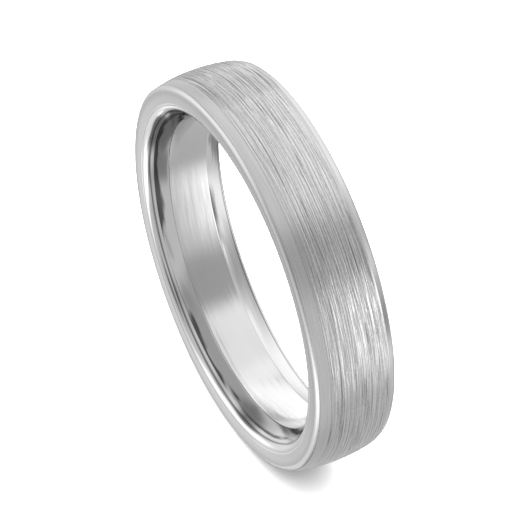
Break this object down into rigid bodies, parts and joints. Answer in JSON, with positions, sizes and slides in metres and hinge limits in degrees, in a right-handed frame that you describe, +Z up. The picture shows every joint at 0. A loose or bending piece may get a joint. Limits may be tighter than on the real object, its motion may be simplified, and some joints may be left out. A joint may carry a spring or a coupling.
{
  "type": "wedding band",
  "caption": "Comfort-fit wedding band with a satin-brushed, gently domed outside held between polished edge rings.",
  "frame": {"origin": "centre of the finger hole, halfway between the two side faces", "axes": "+Y along the ring's axis, from the front side face to the back one, and +Z up with the ring standing upright"},
  "size_m": [0.0238, 0.005, 0.0238],
  "materials": {
    "polished_bore": "polished white precious metal with fine hairline polishing marks",
    "brushed_outside": "satin brushed round the ring in long parallel strokes",
    "polished_edges": "polished white precious metal"
  },
  "bodies": {
    "root": {"inner_sleeve": "polished_bore", "outer_band": "brushed_outside", "front_edge_ring": "polished_edges", "back_edge_ring": "polished_edges"}
  },
  "joints": []
}
